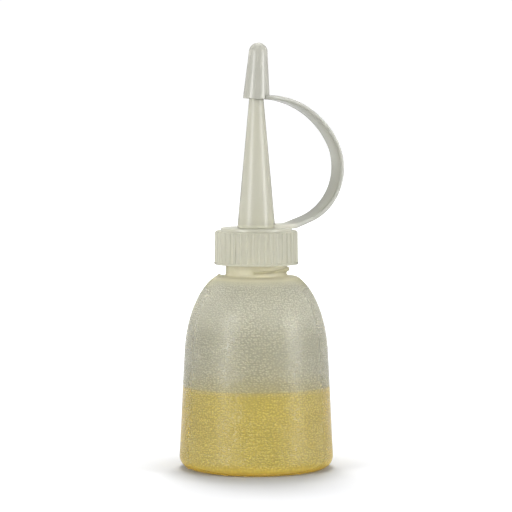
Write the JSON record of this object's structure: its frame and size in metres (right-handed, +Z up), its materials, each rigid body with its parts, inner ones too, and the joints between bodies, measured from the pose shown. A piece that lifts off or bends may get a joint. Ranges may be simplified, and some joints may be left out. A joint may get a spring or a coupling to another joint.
{
  "type": "oil reservoir",
  "caption": "Translucent squeeze oiler: domed bottle part filled with oil, ribbed screw cap with a long conical spout, and a tip cap held by a looped strap.",
  "frame": {"origin": "centre of the bottle's base, on the face it stands on", "axes": "+Z up along the bottle and its spout, +X to the right as seen from the front, +Y to the back"},
  "size_m": [0.0439, 0.0408, 0.1128],
  "materials": {
    "bottle_plastic": "translucent natural polyethylene with a fine pebbled grain",
    "oil": "clear golden mineral oil",
    "cap_plastic": "translucent natural polyethylene, moulded smooth",
    "tether_plastic": "translucent natural polyethylene, moulded smooth"
  },
  "bodies": {
    "bottle": {"bottle": "bottle_plastic", "oil": "oil"},
    "tether": {"tether_ring": "tether_plastic", "strap": "tether_plastic"},
    "screw_cap": {"screw_cap": "cap_plastic"},
    "tip_cap": {"tip_cap": "tether_plastic"}
  },
  "joints": [
    {"name": "closure_lift", "type": "slide", "parent": "bottle", "child": "tether", "axis": [0, 0, 1], "range_m": [0, 0.009]},
    {"name": "cap_turn", "type": "hinge", "parent": "tether", "child": "screw_cap", "pos_m": [0, 0, 0.0627], "axis": [0, 0, 1], "range_deg": [0, 1080]},
    {"name": "tip_pull", "type": "slide", "parent": "tether", "child": "tip_cap", "axis": [0.0413, 0.0188, 0.999], "range_m": [0, 0.015], "deforming": ["strap"]}
  ],
  "couplings": [
    {"joint": "closure_lift", "follows": "cap_turn", "m_per_rad": 0.00047746}
  ]
}
